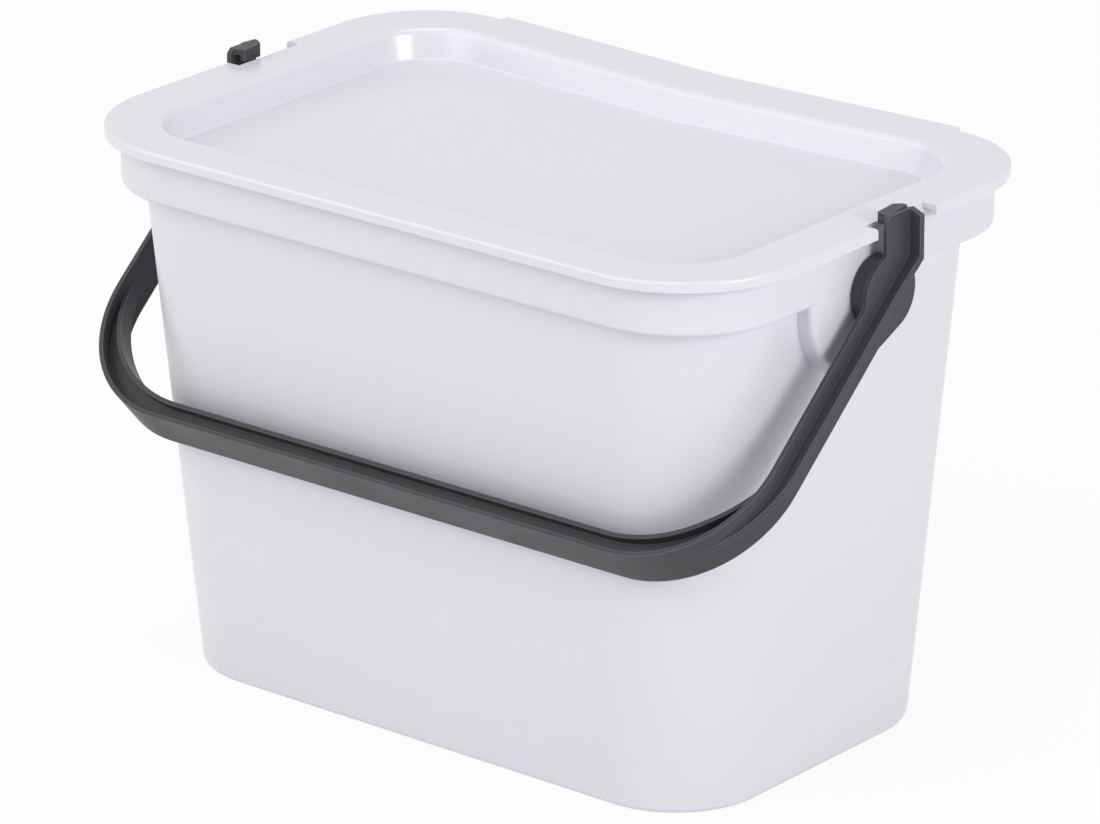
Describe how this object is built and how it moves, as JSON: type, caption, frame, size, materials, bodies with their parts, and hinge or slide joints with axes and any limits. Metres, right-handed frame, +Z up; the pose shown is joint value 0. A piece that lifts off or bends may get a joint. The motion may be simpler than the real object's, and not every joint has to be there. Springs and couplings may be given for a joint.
{
  "type": "compost caddy",
  "caption": "Kitchen food-waste caddy: tapered bucket with rounded corners, hinged lid with a sunken tray, and a swinging bail handle with a channelled grip.",
  "frame": {"origin": "middle of the base, on the surface that the caddy stands on", "axes": "+X to the right along the long side, +Y to the back, where the hinge is, +Z up"},
  "size_m": [0.2976, 0.1926, 0.2028],
  "materials": {
    "pale_plastic": "satin",
    "pale_plastic_lid": "satin",
    "dark_plastic": "satin"
  },
  "bodies": {
    "bucket": {"bucket": "pale_plastic"},
    "lid": {"lid": "pale_plastic_lid"},
    "handle": {"handle": "dark_plastic", "left_pivot": "dark_plastic", "right_pivot": "dark_plastic", "left_nib": "dark_plastic", "right_nib": "dark_plastic"}
  },
  "joints": [
    {"name": "lid_hinge", "type": "hinge", "parent": "bucket", "child": "lid", "pos_m": [0, 0.09306, 0.1923], "axis": [-1, 0, 0], "range_deg": [0, 100]},
    {"name": "handle_pivot", "type": "hinge", "parent": "bucket", "child": "handle", "pos_m": [0, 0, 0.175], "axis": [-1, 0, 0], "range_deg": [0, 150]}
  ]
}
